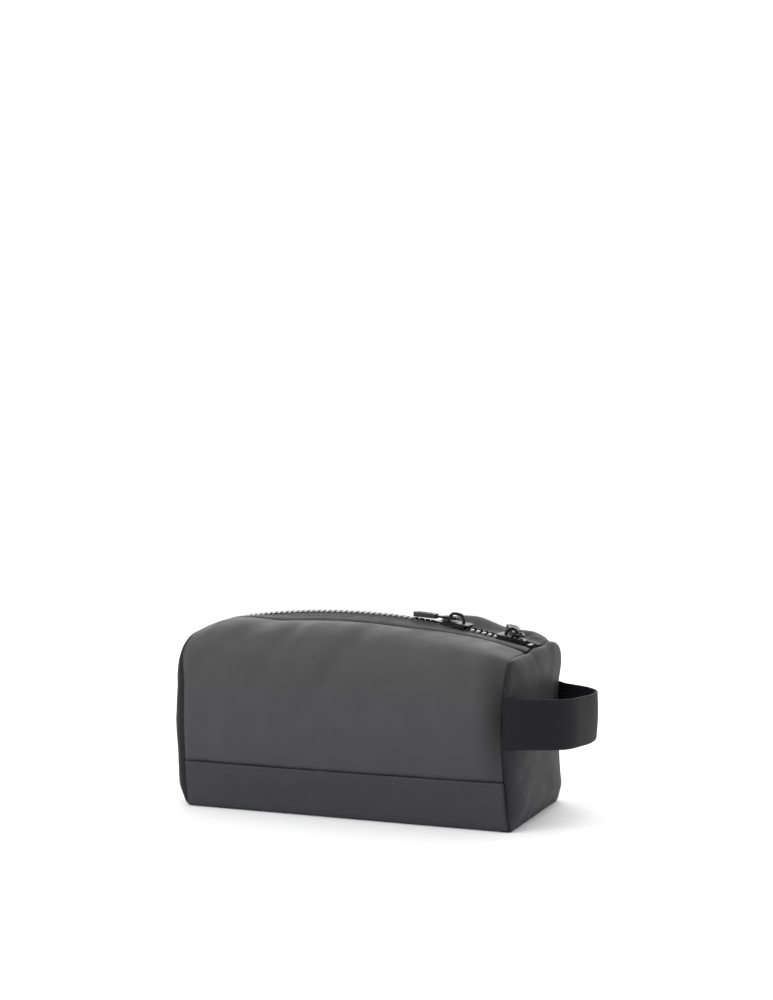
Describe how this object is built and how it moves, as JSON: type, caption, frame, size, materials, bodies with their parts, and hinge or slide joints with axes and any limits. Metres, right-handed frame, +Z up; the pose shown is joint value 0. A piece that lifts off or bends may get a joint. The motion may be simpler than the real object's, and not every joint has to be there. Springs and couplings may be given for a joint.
{
  "type": "shaving kit bag",
  "caption": "Soft rectangular shaving kit bag of coated fabric with an arched zip along the top, a band round the base and a webbing loop handle on one end.",
  "frame": {"origin": "centre of the flat base, on the surface that the bag stands on", "axes": "+X along the zip towards the end with the handle, +Z up, the front faces -Y"},
  "size_m": [0.2939, 0.126, 0.1378],
  "materials": {
    "coated_fabric": "matt polyurethane-coated woven fabric, dark grey",
    "coated_fabric_base": "the same coated fabric in a slightly cooler, darker grey",
    "zip_tape": "ribbed woven tape",
    "zip_teeth": "glossy moulded teeth",
    "slider_metal": "glossy black enamel on cast zinc",
    "pull_rubber": "satin moulded rubber",
    "webbing": "woven nylon webbing",
    "lining": "thin plain-weave nylon",
    "binding": "ribbed binding tape",
    "stiffener": "thin plastic board, hidden between the base and the lining"
  },
  "bodies": {
    "bag": {"front_panel": "coated_fabric", "back_panel": "coated_fabric", "base_panel": "coated_fabric_base", "end_panel_left": "coated_fabric", "end_panel_right": "coated_fabric", "front_zip_facing": "coated_fabric", "back_zip_facing": "coated_fabric", "front_zip_tape": "zip_tape", "back_zip_tape": "zip_tape", "front_zip_teeth": "zip_teeth", "back_zip_teeth": "zip_teeth", "zip_stop_left": "zip_teeth", "zip_stop_right": "zip_teeth", "side_handle": "webbing", "lining_front": "lining", "lining_back": "lining", "lining_floor": "lining", "lining_end_left": "lining", "lining_end_right": "lining", "seam_binding_left": "binding", "seam_binding_right": "binding", "base_stiffener": "stiffener"},
    "slider_a": {"slider_body_a": "slider_metal"},
    "slider_b": {"slider_body_b": "slider_metal"},
    "pull_a": {"pull_link_a": "slider_metal", "pull_grip_a": "pull_rubber"},
    "pull_b": {"pull_link_b": "slider_metal", "pull_grip_b": "pull_rubber"}
  },
  "joints": [
    {"name": "slider_a_travel", "type": "hinge", "parent": "bag", "child": "slider_a", "pos_m": [-0.025, 0, -0.385], "axis": [0, 1, 0], "range_deg": [-18.9, 1.1], "deforming": ["front_zip_teeth", "back_zip_teeth"]},
    {"name": "slider_b_travel", "type": "hinge", "parent": "bag", "child": "slider_b", "pos_m": [-0.025, 0, -0.385], "axis": [0, 1, 0], "range_deg": [-1.1, 0.25], "deforming": ["front_zip_teeth", "back_zip_teeth"]},
    {"name": "pull_a_swing", "type": "hinge", "parent": "slider_a", "child": "pull_a", "pos_m": [0.06438, 0, 0.13351], "axis": [0, 1, 0], "range_deg": [0, 160]},
    {"name": "pull_b_turn", "type": "hinge", "parent": "slider_b", "child": "pull_b", "pos_m": [0.10962, 0, 0.12365], "axis": [0.249, 0, 0.9685], "range_deg": [-230, 10]}
  ]
}
